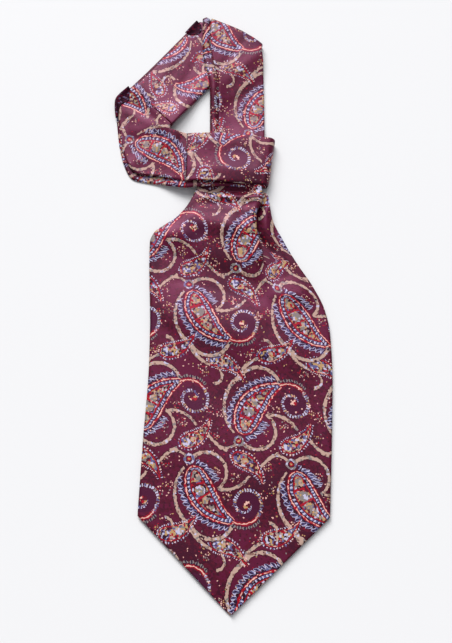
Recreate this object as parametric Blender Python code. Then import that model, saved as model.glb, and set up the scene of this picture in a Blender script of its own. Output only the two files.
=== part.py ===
"""Silk cravat laid flat on a table.

Two pointed blades are joined by a neckband, which is a strip folded lengthwise into two plies.
From the neck of the front blade the band rises, folds over at the top, comes down on the diagonal,
turns at the left and wraps once across the neck. Its right end rolls under the knot to the rear
blade, which lies hidden under the front one.

Seen from above, +Y points from the front blade's tip to the top fold and +Z is up from the table.
Lengths in the tables are millimetres, and the meshes are metres.
"""

import math
from collections import namedtuple

import bpy

MM = 0.001

# The middle of the whole part, in the tables' millimetres, which becomes its origin
MIDDLE_X = -0.34
MIDDLE_Y = 0.29

# Cloth
SEAM_GAP = 0.3
BLADE_WALL = 1.3
PLY_WALL = 1.2
PLY_RISE = 1.6
BAND_THICK = PLY_RISE + PLY_WALL

# Heights of the stacked layers at the knot
UNDER_THICK = 2.0
RISE_BASE = UNDER_THICK + 2 * SEAM_GAP
WRAP_BASE = 7.0
WRAP_ROLL_HEIGHT = (WRAP_BASE + BAND_THICK) / 2
FOLD_ROLL_HEIGHT = BAND_THICK + SEAM_GAP
FOLD_BASE = FOLD_ROLL_HEIGHT + SEAM_GAP

# Front blade: its tip, and the lean of its centre line from +Y
TIP_X = 9.3
TIP_Y = -261.5
BLADE_LEAN = math.radians(2.0)
TIP_STRAIGHT_TO = 75.0
PLEAT_DEPTH = 10.0
PLEAT_STEP = 1.5

Outline = namedtuple("Outline", "up left right")
BLADE_OUTLINE = [
    Outline(0.0, 0.8, 0.8),
    Outline(71.0, 74.5, 70.8),
    Outline(75.0, 74.6, 74.6),
    Outline(130.0, 74.0, 75.8),
    Outline(182.0, 72.8, 76.4),
    Outline(225.0, 73.9, 74.2),
    Outline(245.0, 75.2, 69.6),
    Outline(265.0, 76.8, 59.6),
    Outline(284.0, 78.0, 46.8),
    Outline(300.0, 78.4, 37.2),
    Outline(309.0, 75.0, 32.4),
    Outline(315.0, 68.0, 29.0),
    Outline(322.0, 58.4, 25.6),
    Outline(334.0, 48.4, 22.4),
    Outline(344.0, 43.5, 20.8),
    Outline(348.5, 41.8, 18.5),
    Outline(352.0, 40.5, 13.8),
    Outline(371.0, 33.0, 13.8),
]

# Height of the middle of the wall at the crown and at both edges, and the pleat beside the crown
Relief = namedtuple("Relief", "up crown left right pleat_at pleat")
BLADE_RELIEF = [
    Relief(0.0, 0.65, 0.65, 0.65, 4.0, 0.0),
    Relief(20.0, 2.25, 2.25, 2.25, 4.0, 0.0),
    Relief(70.0, 2.4, 2.25, 2.25, 6.0, 0.0),
    Relief(120.0, 3.0, 2.25, 2.25, 10.0, 0.0),
    Relief(185.0, 2.8, 2.4, 2.25, 14.0, 0.0),
    Relief(238.0, 4.3, 2.7, 2.3, 18.0, 0.0),
    Relief(262.0, 4.1, 2.8, 2.6, 20.0, 0.06),
    Relief(277.0, 4.8, 3.0, 2.8, 19.5, 0.4),
    Relief(295.0, 5.9, 3.3, 2.9, 16.5, 0.9),
    Relief(315.0, 6.9, 3.7, 2.9, 11.0, 1.0),
    Relief(327.0, 7.4, 4.2, 2.95, 10.7, 1.0),
    Relief(336.0, 8.1, 4.9, 3.0, 14.0, 1.0),
    Relief(341.0, 8.0, 5.0, 3.0, 15.5, 1.0),
    Relief(348.5, 5.95, 4.6, 2.95, 15.0, 1.0),
    Relief(371.0, 5.95, 4.6, 2.95, 12.0, 1.0),
]
BLADE_ROWS_UP = [0, 5, 12, 20, 36, 54, 71, 75, 92, 110, 128, 146, 164, 182, 200, 215, 228, 240]
BLADE_ROWS_UP += [248, 255, 262, 268, 274, 280, 286, 292, 298, 303, 308, 312, 316, 320, 325]
BLADE_ROWS_UP += [330, 334, 338, 341, 344, 346.5, 348.5, 350, 352, 362, 371]

# Rear blade: inset from the front one, and shorter at the tip
REAR_INSET = 4.0
REAR_SHORTER = 22.0
REAR_TOP_UP = 362.0

# Neckband. Each section runs from the open edge of the folded strip to its folded edge, and bows
# to its left by the last column. The step is what the upper ply leaves bare of the lower one.
Section = namedtuple("Section", "open_x open_y fold_x fold_y step bow")
RISE_SECTIONS = [
    Section(-8.3, 111.0, 40.0, 111.0, 7.6, 0.0),
    Section(-8.3, 130.0, 40.0, 130.0, 7.6, 0.0),
    Section(-8.3, 150.0, 40.0, 150.0, 7.6, 0.0),
    Section(-8.3, 170.0, 40.0, 170.0, 7.6, 0.0),
    Section(-8.5, 188.0, 39.9, 186.0, 7.8, 0.0),
    Section(-10.0, 200.0, 39.8, 196.0, 9.0, 0.0),
    Section(-13.8, 215.0, 39.6, 205.0, 9.0, 0.0),
    Section(-15.3, 230.0, 39.6, 212.5, 7.8, 1.0),
    Section(-15.4, 246.0, 39.4, 220.0, 7.6, 2.2),
    Section(-15.4, 261.0, 38.2, 231.6, 7.6, 3.2),
]
DIAGONAL_SECTIONS = [
    Section(-20.6, 260.4, 37.4, 231.3, 2.4, 2.6),
    Section(-28.0, 251.2, 25.0, 221.5, 2.4, 0.0),
    Section(-40.0, 237.0, 5.0, 203.9, 2.0, 0.0),
    Section(-53.0, 221.6, -10.0, 189.5, 1.8, 0.0),
    Section(-66.0, 206.6, -25.8, 169.8, 1.6, 0.0),
    Section(-79.1, 192.1, -41.7, 150.3, 1.6, 0.0),
]
TURN_SECTIONS = [
    Section(-79.3, 191.9, -41.9, 150.1, 1.6, 0.0),
    Section(-87.0, 185.6, -42.4, 149.7, 1.6, 0.0),
    Section(-92.8, 178.3, -42.8, 149.1, 1.6, 0.0),
    Section(-92.0, 167.0, -43.0, 148.4, 1.8, 0.0),
    Section(-90.6, 154.6, -43.0, 147.6, 1.8, 0.0),
    Section(-89.0, 141.0, -42.8, 146.9, 1.8, 0.0),
    Section(-86.8, 127.5, -42.4, 146.3, 2.2, 0.0),
    Section(-82.6, 112.5, -41.6, 146.0, 3.6, 0.0),
    Section(-76.0, 101.2, -40.2, 145.7, 6.0, 0.0),
    Section(-64.0, 97.2, -38.0, 145.2, 7.0, 0.0),
    Section(-52.0, 95.2, -35.4, 144.3, 6.8, 0.0),
    Section(-40.0, 92.2, -32.0, 143.0, 6.2, 0.0),
    Section(-28.6, 89.6, -28.3, 141.6, 5.6, 0.0),
]
WRAP_SECTIONS = [
    Section(-28.3, 89.6, -28.0, 141.6, 5.6, 0.0),
    Section(-12.2, 91.0, -8.2, 142.3, 4.2, 0.0),
    Section(4.0, 91.0, 10.0, 141.2, 3.2, 0.0),
    Section(22.0, 90.4, 26.0, 139.2, 2.2, 0.0),
    Section(37.0, 90.4, 44.0, 137.2, 1.4, 0.0),
]

# The edge of the diagonal stretch where it lies under the rise
UNDER_EDGE_START = (-10.0, 189.5)
UNDER_EDGE_END = (37.4, 231.3)
CLIMB = 12.0
CLIMB_CLEAR = 2.5

PLY_POINTS = 8
TURN_POINTS = 4
LOWER_SILK = (0.21, 0.028, 0.07, 1.0)
UPPER_SILK = (0.26, 0.035, 0.085, 1.0)


def clear_scene():
    for thing in list(bpy.data.objects):
        bpy.data.objects.remove(thing)


def silk(name, colour):
    material = bpy.data.materials.new(name)
    material.use_nodes = True
    shader = material.node_tree.nodes["Principled BSDF"]
    shader.inputs["Base Color"].default_value = colour
    shader.inputs["Roughness"].default_value = 0.42
    shader.inputs["Metallic"].default_value = 0.0
    return material


def smooth(low, high, value):
    """0 at low, 1 at high, with level ends."""
    share = min(1.0, max(0.0, (value - low) / (high - low)))
    return share * share * (3.0 - 2.0 * share)


def mix(a, b, share):
    return a + (b - a) * share


def slopes(xs, ys):
    """Slopes of a curve that keeps between its points."""
    steps = [(ys[i + 1] - ys[i]) / (xs[i + 1] - xs[i]) for i in range(len(xs) - 1)]
    inner = []
    for before, after in zip(steps, steps[1:]):
        same_way = before * after > 0
        inner.append(2.0 * before * after / (before + after) if same_way else 0.0)
    return [steps[0], *inner, steps[-1]]


def read(table, column, up):
    """A column of a table at height up, on a smooth curve through its rows."""
    xs = [row.up for row in table]
    ys = [getattr(row, column) for row in table]
    i = max(0, min(len(xs) - 2, sum(x <= up for x in xs) - 1))
    width = xs[i + 1] - xs[i]
    s = (up - xs[i]) / width
    m = slopes(xs, ys)
    ends = (1 + 2 * s) * (1 - s) ** 2 * ys[i] + s * s * (3 - 2 * s) * ys[i + 1]
    return ends + width * s * (1 - s) * ((1 - s) * m[i] - s * m[i + 1])


def outline(side, up):
    """Half width of the blade: straight along the pointed end, curved above it."""
    tip = [row for row in BLADE_OUTLINE if row.up <= TIP_STRAIGHT_TO]
    body = [row for row in BLADE_OUTLINE if row.up >= TIP_STRAIGHT_TO]
    if up >= TIP_STRAIGHT_TO:
        return read(body, side, up)
    i = max(0, sum(row.up <= up for row in tip) - 1)
    share = (up - tip[i].up) / (tip[i + 1].up - tip[i].up)
    return mix(getattr(tip[i], side), getattr(tip[i + 1], side), share)


def on_blade(across, up, height):
    """A point of the leaning blade, from its distance across and up from the tip."""
    x = TIP_X + across * math.cos(BLADE_LEAN) + up * math.sin(BLADE_LEAN)
    y = TIP_Y + up * math.cos(BLADE_LEAN) - across * math.sin(BLADE_LEAN)
    return (x, y, height)


def between_rows(sections, count):
    """Sections spaced along a smooth curve through the rows of a table."""
    made = []
    last = len(sections) - 1
    for k in range(count):
        place = k * last / (count - 1)
        i = min(last - 1, int(place))
        s = place - i
        a, b = sections[max(0, i - 1)], sections[i]
        c, d = sections[i + 1], sections[min(last, i + 2)]
        values = []
        for p, q, r, t in zip(a, b, c, d):
            bend = (2 * p - 5 * q + 4 * r - t) * s * s + (3 * q - p - 3 * r + t) * s**3
            values.append(0.5 * (2 * q + (r - p) * s + bend))
        made.append(Section(*values))
    return made


def wall_sides(middle, wall):
    """Both sides of a wall whose middle is a line of (along, height) points."""
    over, under = [], []
    for i, (along, height) in enumerate(middle):
        before, after = middle[max(0, i - 1)], middle[min(len(middle) - 1, i + 1)]
        da, dh = after[0] - before[0], after[1] - before[1]
        length = math.hypot(da, dh)
        half = wall / 2 if 0 < i < len(middle) - 1 else wall / 3.2
        out_a, out_h = -dh / length * half, da / length * half
        over.append((along + out_a, height + out_h))
        under.append((along - out_a, height - out_h))
    return over, under


def loft(name, rings, material):
    """One closed solid through rings. A ring is the over side of a wall and then its under side, reversed."""
    count = len(rings[0])
    half = count // 2
    points = []
    for ring in rings:
        points += [((x - MIDDLE_X) * MM, (y - MIDDLE_Y) * MM, z * MM) for x, y, z in ring]
    faces = []
    for r in range(len(rings) - 1):
        for i in range(count):
            j = (i + 1) % count
            low, high = r * count, (r + 1) * count
            faces.append((low + i, high + i, high + j, low + j))
    last = (len(rings) - 1) * count
    for i in range(half - 1):
        opposite = count - 1 - i
        faces.append((i, i + 1, opposite - 1, opposite))
        faces.append((last + i, last + opposite, last + opposite - 1, last + i + 1))
    mesh = bpy.data.meshes.new(name)
    mesh.from_pydata(points, [], faces)
    if signed_volume(mesh) < 0:
        mesh.flip_normals()
    mesh.materials.append(material)
    mesh.shade_smooth()
    thing = bpy.data.objects.new(name, mesh)
    bpy.context.scene.collection.objects.link(thing)
    return thing


def signed_volume(mesh):
    """Six times the volume, negative for a mesh whose faces point in."""
    total = 0.0
    for face in mesh.polygons:
        corners = [mesh.vertices[i].co for i in face.vertices]
        for b, c in zip(corners[1:], corners[2:]):
            total += corners[0].dot(b.cross(c))
    return total


def front_row(up):
    """Middle of the front blade's wall across one row, as (across, height) points.

    Left of the pleat the cloth climbs to its crown. At the pleat it turns back under itself and
    out again, so that three layers lie on each other, and then it falls to the right edge.
    """
    left, right = outline("left", up), outline("right", up)
    crown, at = read(BLADE_RELIEF, "crown", up), read(BLADE_RELIEF, "pleat_at", up)
    left_height, right_height = read(BLADE_RELIEF, "left", up), read(BLADE_RELIEF, "right", up)
    pleat = read(BLADE_RELIEF, "pleat", up)
    turned = smooth(0.35, 1.0, pleat)
    dropped = smooth(0.0, 0.6, pleat)
    at = min(at, 0.35 * right + at * smooth(0.0, 90.0, up))
    spread = min(6.0, 0.3 * right, 0.3 * left)
    radius = PLEAT_STEP / 2

    left_end = mix(at - spread, at - radius, turned)
    points = []
    for i in range(12):
        share = i / 12
        climb = math.sin(share * math.pi / 2) ** 1.2
        points.append((mix(-left, left_end, share), mix(left_height, crown, climb)))

    inner = at - radius - PLEAT_DEPTH * turned
    folded = [
        (at - radius, crown),
        (at, crown - radius),
        (at - radius, crown - PLEAT_STEP),
        (mix(at - radius, inner, 0.5), crown - PLEAT_STEP),
        (inner, crown - PLEAT_STEP),
        (inner - radius, crown - 1.5 * PLEAT_STEP),
        (inner, crown - 2 * PLEAT_STEP),
    ]
    for i, (across, height) in enumerate(folded):
        share = i / (len(folded) - 1)
        open_across = mix(at - spread, at + spread, share)
        open_height = mix(crown, right_height, smooth(at - spread, right, open_across))
        points.append((mix(open_across, across, turned), mix(open_height, height, dropped)))

    start_across, start_height = points[-1]
    for i in range(1, 10):
        share = i / 9
        across = mix(start_across, right, share)
        points.append((across, mix(start_height, right_height, smooth(0.0, 1.0, share))))
    return points


def front_blade(material):
    rings = []
    for up in BLADE_ROWS_UP:
        over, under = wall_sides(front_row(up), BLADE_WALL)
        ring = [on_blade(across, up, height) for across, height in over]
        ring += [on_blade(across, up, height) for across, height in reversed(under)]
        rings.append(ring)
    return loft("front_blade", rings, material)


def rear_blade(material):
    """A flat blade on the table, whose outline is the front one's, moved in and shortened."""
    rings = []
    for up in BLADE_ROWS_UP:
        if not REAR_SHORTER <= up <= REAR_TOP_UP or up in (71, 75) or up % 2:
            continue
        narrower = REAR_INSET + REAR_SHORTER * (1 - smooth(60.0, 100.0, up))
        left = max(0.8, outline("left", up) - narrower)
        right = max(0.8, outline("right", up) - min(narrower, 0.9 * outline("right", up)))
        rings.append(flat_ring(left, right, up))
    return loft("rear_blade", rings, material)


def flat_ring(left, right, up):
    rim = min(0.3, left / 4)
    across = [-left, *[mix(-left + 2, right - 2, i / 6) for i in range(7)], right]
    if left < 3:
        across = [mix(-left, right, i / 8) for i in range(9)]
    over = [on_blade(a, up, BLADE_WALL - (rim if i in (0, 8) else 0)) for i, a in enumerate(across)]
    under = [on_blade(a, up, rim if i in (0, 8) else 0.0) for i, a in enumerate(across)]
    return over + under[::-1]


def folded_strip(width, step):
    """Middle of the folded strip's wall: the lower ply, the folded edge, then the upper ply."""
    low = PLY_WALL / 2
    radius = PLY_RISE / 2
    edge = width - PLY_WALL / 2 - radius
    points = [(mix(0.0, edge, i / PLY_POINTS), low) for i in range(PLY_POINTS)]
    for i in range(TURN_POINTS + 1):
        angle = -math.pi / 2 + math.pi * i / TURN_POINTS
        points.append((edge + radius * math.cos(angle), low + radius + radius * math.sin(angle)))
    for i in range(1, PLY_POINTS + 1):
        points.append((mix(edge, step, i / PLY_POINTS), low + PLY_RISE))
    return points


def strip_ring(section, base, roll=0.0, roll_height=0.0, outward=(0.0, 0.0)):
    """Ring of the folded strip across one section.

    base gives the height of its underside at a place. A rolled ring is turned by roll round the
    section's own line, at roll_height above the table, with its top leaning to the outward side.
    """
    dx, dy = section.fold_x - section.open_x, section.fold_y - section.open_y
    width = math.hypot(dx, dy)
    over, under = wall_sides(folded_strip(width, section.step), PLY_WALL)
    ring = []
    for along, height in over + under[::-1]:
        share = along / width
        aside = 4 * section.bow * share * (1 - share) / width
        x, y = section.open_x + dx * share - dy * aside, section.open_y + dy * share + dx * aside
        reach = base(x, y) + height - roll_height
        x += outward[0] * reach * math.sin(roll)
        y += outward[1] * reach * math.sin(roll)
        ring.append((x, y, roll_height + reach * math.cos(roll)))
    return ring


def rolled_rings(section, base, roll_height, outward, count, turn=math.pi):
    return [
        strip_ring(section, lambda x, y: base, turn * i / count, roll_height, outward)
        for i in range(1, count + 1)
    ]


def side_of_line(x, y, start, end):
    """Distance of a place to the left of the line from start to end."""
    dx, dy = end[0] - start[0], end[1] - start[1]
    return (dx * (y - start[1]) - dy * (x - start[0])) / math.hypot(dx, dy)


def rise_base(x, y):
    """Underside of the rise: on the knot's under layer, down to the table, then up over the diagonal."""
    at_knot = RISE_BASE * (1 - smooth(136.0, 156.0, y))
    over = side_of_line(x, y, UNDER_EDGE_START, UNDER_EDGE_END)
    return at_knot + FOLD_BASE * smooth(-CLIMB - CLIMB_CLEAR, -CLIMB_CLEAR, over)


def wrap_base(x, y):
    """Underside of the turn and the wrap: from the table at the left up on to the knot."""
    return WRAP_BASE * smooth(-62.0, -22.0, x)


def diagonal_base(x, y):
    """Underside of the diagonal: on the table, and up to the turn at its lower end."""
    end = DIAGONAL_SECTIONS[-1]
    from_end = side_of_line(x, y, (end.open_x, end.open_y), (end.fold_x, end.fold_y))
    return wrap_base(x, y) * (1 - smooth(0.0, 38.0, from_end))


def rise(material):
    sections = between_rows(RISE_SECTIONS, 24)
    rings = [strip_ring(section, rise_base) for section in sections]
    last = sections[-1]
    length = math.hypot(last.fold_x - last.open_x, last.fold_y - last.open_y)
    outward = (-(last.fold_y - last.open_y) / length, (last.fold_x - last.open_x) / length)
    rings += rolled_rings(last, FOLD_BASE, FOLD_ROLL_HEIGHT, outward, 7, math.radians(165))
    return loft("neckband_rise", rings, material)


def diagonal(material):
    rings = [strip_ring(section, diagonal_base) for section in between_rows(DIAGONAL_SECTIONS, 14)]
    return loft("neckband_diagonal", rings, material)


def turn(material):
    rings = [strip_ring(section, wrap_base) for section in between_rows(TURN_SECTIONS, 25)]
    return loft("neckband_turn", rings, material)


def wrap(material):
    sections = between_rows(WRAP_SECTIONS, 12)
    rings = [strip_ring(section, wrap_base) for section in sections]
    last = sections[-1]
    length = math.hypot(last.fold_x - last.open_x, last.fold_y - last.open_y)
    outward = ((last.fold_y - last.open_y) / length, -(last.fold_x - last.open_x) / length)
    rings += rolled_rings(last, WRAP_BASE, WRAP_ROLL_HEIGHT, outward, 8)
    return loft("neckband_wrap", rings, material)


def knot_back(material):
    """The layer between the wrap's rolled end and the rear blade, as one rounded solid."""
    low_y, high_y = 102.3, 136.0
    columns = 7
    rings = []
    for i in range(9):
        share = i / 8
        left_x, right_x = -14.0, mix(38.4, 43.45, share)
        x = [mix(left_x, right_x, k / (columns - 1)) for k in range(columns)]
        y = mix(low_y, high_y, share)
        rim = 0.5 if i in (0, 8) else 0.0
        over = [(a, y, UNDER_THICK - (0.5 if k in (0, columns - 1) else rim)) for k, a in enumerate(x)]
        under = [(a, y, 0.5 if k in (0, columns - 1) else rim) for k, a in enumerate(x)]
        rings.append(over + under[::-1])
    return loft("knot_back", rings, material)


def main():
    clear_scene()
    front_blade(silk("front_silk", UPPER_SILK))
    rear_blade(silk("rear_silk", LOWER_SILK))
    rise(silk("rise_silk", UPPER_SILK))
    diagonal(silk("diagonal_silk", LOWER_SILK))
    turn(silk("turn_silk", UPPER_SILK))
    wrap(silk("wrap_silk", UPPER_SILK))
    knot_back(silk("knot_silk", LOWER_SILK))


main()
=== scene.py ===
import math
from collections import namedtuple

import bpy
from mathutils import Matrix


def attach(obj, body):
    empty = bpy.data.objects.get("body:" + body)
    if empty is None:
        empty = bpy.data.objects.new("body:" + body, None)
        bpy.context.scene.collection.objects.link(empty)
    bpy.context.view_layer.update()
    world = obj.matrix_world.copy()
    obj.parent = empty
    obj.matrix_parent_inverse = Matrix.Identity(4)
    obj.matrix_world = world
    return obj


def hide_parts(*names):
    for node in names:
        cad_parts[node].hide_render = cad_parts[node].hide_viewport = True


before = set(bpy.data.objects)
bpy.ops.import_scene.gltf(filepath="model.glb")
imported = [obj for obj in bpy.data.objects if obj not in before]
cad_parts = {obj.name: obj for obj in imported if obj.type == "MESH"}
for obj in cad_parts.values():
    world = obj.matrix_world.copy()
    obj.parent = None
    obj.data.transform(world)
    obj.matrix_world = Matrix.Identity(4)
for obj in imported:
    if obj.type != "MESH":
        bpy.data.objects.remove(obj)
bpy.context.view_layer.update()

MM = 0.001


# Colours, given as they look on a screen
def look(red, green, blue):
    return tuple(((c / 255 + 0.055) / 1.055) ** 2.4 if c > 10 else c / 255 / 12.92 for c in (red, green, blue)) + (1.0,)


WINE = look(76, 11, 26)
PLUM = look(82, 14, 42)
SHADE = look(50, 8, 22)
PURPLE = look(60, 11, 38)
DARK = look(26, 6, 15)
RED = look(158, 12, 24)
ROSE = look(230, 183, 168)
SAND = look(184, 156, 140)
TAN = look(132, 102, 90)
LILAC = look(190, 188, 213)
SLATE = look(84, 90, 134)
NAVY = look(24, 20, 44)
GOLD = look(180, 146, 96)
SAGE = look(126, 122, 118)

# The repeat of the woven pattern, and how its second row of motifs is placed from the first
REPEAT_X = 80.5
REPEAT_Y = 146.5
SECOND_X = 41.0
SECOND_Y = -83.3


class Num:
    """A number in a material, which is added, multiplied and compared as numbers are."""

    def __init__(self, socket):
        self.socket = socket

    def __add__(self, other):
        return math_node("ADD", self, other)

    def __sub__(self, other):
        return math_node("SUBTRACT", self, other)

    def __rsub__(self, other):
        return math_node("SUBTRACT", other, self)

    def __mul__(self, other):
        return math_node("MULTIPLY", self, other)

    __radd__ = __add__
    __rmul__ = __mul__


def plug(socket, value):
    if isinstance(value, Num):
        socket.id_data.links.new(value.socket, socket)
    elif value is not None:
        socket.default_value = value


TREE = []


def node(kind, **settings):
    made = TREE[-1].nodes.new("ShaderNode" + kind)
    for name, value in settings.items():
        setattr(made, name, value)
    return made


def math_node(operation, *values):
    made = node("Math", operation=operation)
    for socket, value in zip(made.inputs, values):
        plug(socket, value)
    return Num(made.outputs[0])


def less(a, b):
    return math_node("LESS_THAN", a, b)


def more(a, b):
    return math_node("GREATER_THAN", a, b)


def near(a, b, reach):
    return math_node("COMPARE", a, b, reach)


def both(*masks):
    total = masks[0]
    for mask in masks[1:]:
        total = total * mask
    return total


def either(a, b):
    return math_node("MAXIMUM", a, b)


def part_of(a):
    return math_node("FRACT", a)


def vector(x, y):
    made = node("CombineXYZ")
    plug(made.inputs[0], x)
    plug(made.inputs[1], y)
    return Num(made.outputs[0])


def vector_node(operation, *values):
    made = node("VectorMath", operation=operation)
    for socket, value in zip(made.inputs, values):
        plug(socket, value)
    return Num(made.outputs["Value" if operation in ("LENGTH", "DISTANCE") else "Vector"])


def split(vec):
    made = node("SeparateXYZ")
    plug(made.inputs[0], vec)
    return Num(made.outputs[0]), Num(made.outputs[1])


def moved(vec, x, y, turn=0.0):
    """The place seen from (x, y), turned so that this direction is its first axis."""
    made = node("Mapping", vector_type="TEXTURE")
    plug(made.inputs["Vector"], vec)
    made.inputs["Location"].default_value = (x, y, 0)
    made.inputs["Rotation"].default_value = (0, 0, turn)
    return Num(made.outputs[0])


def ramp(value, stops, smooth=False):
    """Colours by value, from (start, colour) stops over 0 to 1."""
    made = node("ValToRGB")
    made.color_ramp.interpolation = "LINEAR" if smooth else "CONSTANT"
    elements = made.color_ramp.elements
    elements[0].position, elements[0].color = stops[0]
    elements[1].position, elements[1].color = stops[-1]
    for position, colour in stops[1:-1]:
        elements.new(position).color = colour
    plug(made.inputs[0], value)
    return Num(made.outputs[0])


def curve(value, points):
    """A smooth curve through (x, y) points, all from 0 to 1."""
    made = node("FloatCurve")
    line = made.mapping.curves[0]
    line.points[0].location, line.points[1].location = points[0], points[-1]
    for point in points[1:-1]:
        line.points.new(*point)
    made.mapping.update()
    plug(made.inputs["Value"], value)
    return Num(made.outputs[0])


def over(colour, mask, upper):
    """The upper colour where the mask is 1, and the lower one elsewhere."""
    made = node("Mix", data_type="RGBA")
    plug(made.inputs[0], mask)
    plug(made.inputs[6], colour)
    plug(made.inputs[7], upper)
    return Num(made.outputs[2])


def circle_through(a, b, c):
    """Centre, radius, and the angles of the first and the last point, turning past the middle one."""
    ax, ay = a[0] - c[0], a[1] - c[1]
    bx, by = b[0] - c[0], b[1] - c[1]
    cross = 2 * (ax * by - ay * bx)
    x = c[0] + (by * (ax * ax + ay * ay) - ay * (bx * bx + by * by)) / cross
    y = c[1] + (ax * (bx * bx + by * by) - bx * (ax * ax + ay * ay)) / cross
    start, middle, end = (math.atan2(p[1] - y, p[0] - x) for p in (a, b, c))
    turn = (end - start) % math.tau
    if (middle - start) % math.tau > turn:
        turn -= math.tau
    return x, y, math.hypot(a[0] - x, a[1] - y), start, start + turn


def polar(vec, x, y, turn):
    """Distance from (x, y), and the angle from the direction turn."""
    local = moved(vec, x, y, turn)
    across, up = split(local)
    return vector_node("LENGTH", local), math_node("ARCTAN2", up, across)


def vine(vec, a, b, c, start_width, end_width):
    """How far a place is inside a stroke along the arc from a through b to c, plus 20 within its ends."""
    x, y, radius, start, end = circle_through(a, b, c)
    half = abs(end - start) / 2
    r, angle = polar(vec, x, y, (start + end) / 2)
    sign = 1 if end > start else -1
    slope = sign * (end_width - start_width) / (4 * half)
    width = math_node("MULTIPLY_ADD", angle, slope, (start_width + end_width) / 4 + 0.2)
    return math_node("MULTIPLY_ADD", near(angle, 0.0, half), 20.0, width - math_node("ABSOLUTE", r - radius))


def drop(vec, a, b, c, length, profile, head):
    """Coordinates of a teardrop whose axis is the arc from its head a through b to its tip c.

    Returns the way along the axis, the way out from it, the inset from the outline, and the way
    round the outline.
    """
    x, y, radius, start, end = circle_through(a, b, c)
    r, angle = polar(vec, x, y, start)
    sign = 1 if end > start else -1
    along = angle * (sign * radius)
    out = r - radius
    behind = math_node("MINIMUM", along, 0.0)
    width = curve(along * (1 / length), profile) * 12.0
    inset = width - vector_node("LENGTH", vector(behind, out))
    bend = math_node("ARCTAN2", behind * -1.0, math_node("ABSOLUTE", out))
    way = math_node("MAXIMUM", along, 0.0) - bend * head
    return along, out, inset, way


def spot(place, x, y, radius):
    return less(vector_node("DISTANCE", place, (x, y, 0)), radius)


Vine = namedtuple("Vine", "a b c start end")
VINES = [
    Vine((-48.5, -27.0), (-55.8, -2.0), (-43.0, 19.5), 1.2, 3.0),
    Vine((-43.5, 18.0), (-25.5, 27.5), (-11.0, 15.0), 2.6, 2.2),
    Vine((-44.5, 17.5), (-37.8, 28.5), (-27.8, 35.0), 2.8, 1.6),
    Vine((-22.5, -11.2), (-15.4, -24.5), (-43.0, -33.6), 1.8, 2.6),
    Vine((-22.0, -11.4), (-9.6, -12.4), (2.2, -22.5), 2.2, 1.6),
]
SIDE_VINES = [
    Vine((-69.0, -29.5), (-62.0, -37.0), (-54.0, -41.6), 1.4, 2.6),
    Vine((-60.0, -39.6), (-54.5, -39.6), (-47.5, -36.2), 2.0, 1.4),
    Vine((-59.5, 24.0), (-57.8, 17.0), (-63.8, 12.8), 1.2, 2.2),
]


def speckle(vec):
    """Small woven flecks: a random tone for each, and the distance from its middle."""
    made = node("TexVoronoi", voronoi_dimensions="2D", feature="F1")
    plug(made.inputs["Vector"], vec)
    made.inputs["Scale"].default_value = 0.62
    made.inputs["Randomness"].default_value = 0.75
    tone, second = split(Num(made.outputs["Color"]))
    return tone, second, Num(made.outputs["Distance"])


def dense(tone):
    """The close mix of threads that fills the small shapes."""
    return ramp(tone, [(0.0, SAGE), (0.2, GOLD), (0.38, RED), (0.5, SLATE), (0.64, LILAC), (0.78, DARK), (0.9, SAND), (1.0, SAND)])


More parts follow.
